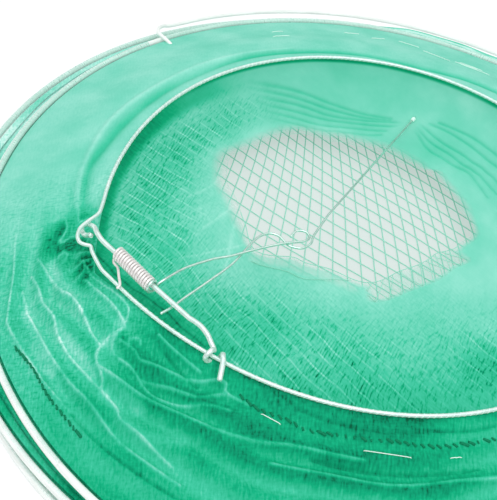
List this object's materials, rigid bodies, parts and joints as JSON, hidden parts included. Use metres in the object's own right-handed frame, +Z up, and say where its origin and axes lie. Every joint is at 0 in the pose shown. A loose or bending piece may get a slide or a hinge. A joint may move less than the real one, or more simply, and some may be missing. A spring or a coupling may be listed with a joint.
{
  "type": "fish keeper basket",
  "caption": "Collapsible round fish keeper basket of wire rings and fine net, folded flat, with a sprung arm that keeps its inner sleeve shut and a wire carrying handle.",
  "frame": {"origin": "centre of the base ring, on the surface that the basket rests on", "axes": "+Z up out of the basket's mouth; the sprung arm's hinge is towards -X and -Y, and the arm reaches from it across the mouth towards +Y"},
  "size_m": [0.427, 0.4175, 0.0524],
  "materials": {
    "coated_wire": "white coating, satin",
    "plated_wire": "bright zinc plating, drawn wire",
    "coarse_net": "open diamond-mesh netting",
    "fine_net": "fine knitted mesh, semi-sheer",
    "thread": "twisted thread"
  },
  "bodies": {
    "base": {"base_ring": "coated_wire", "base_net": "coarse_net", "base_ring_hem": "fine_net", "lower_wall_net": "fine_net"},
    "middle": {"middle_ring": "coated_wire", "middle_ring_hem": "fine_net", "upper_wall_net": "fine_net"},
    "upper": {"upper_ring": "coated_wire", "upper_ring_hem_back": "fine_net", "upper_ring_hem_front": "fine_net", "shoulder_net": "fine_net", "shoulder_seam_thread": "thread"},
    "handle": {"carrying_handle": "coated_wire"},
    "mouth": {"mouth_ring": "plated_wire", "mouth_hem": "fine_net", "mouth_hem_by_spring": "fine_net", "pivot_rod": "plated_wire", "torsion_spring": "plated_wire", "sleeve_net": "fine_net", "sleeve_lip_cord": "thread"},
    "arm": {"spring_leg": "plated_wire", "closing_arm": "plated_wire", "arm_tip_tie": "thread"}
  },
  "joints": [
    {"name": "middle_slide", "type": "slide", "parent": "base", "child": "middle", "axis": [0, 0, 1], "range_m": [0, 0.15], "deforming": ["lower_wall_net"]},
    {"name": "upper_slide", "type": "slide", "parent": "middle", "child": "upper", "axis": [0, 0, 1], "range_m": [0, 0.15], "deforming": ["upper_wall_net"]},
    {"name": "mouth_slide", "type": "slide", "parent": "upper", "child": "mouth", "axis": [0, 0, 1], "range_m": [0, 0.045], "deforming": ["shoulder_net", "shoulder_seam_thread"]},
    {"name": "arm_hinge", "type": "hinge", "parent": "mouth", "child": "arm", "pos_m": [-0.10191, -0.07659, 0.0492], "axis": [0.8181, -0.575, 0], "range_deg": [-5, 12], "stiffness_Nm_per_rad": 0.1, "deforming": ["sleeve_net", "sleeve_lip_cord"]},
    {"name": "handle_hinge", "type": "hinge", "parent": "upper", "child": "handle", "pos_m": [0.0072, 0.0049, 0.0125], "axis": [0.7385, -0.6743, 0], "range_deg": [0, 95]}
  ]
}
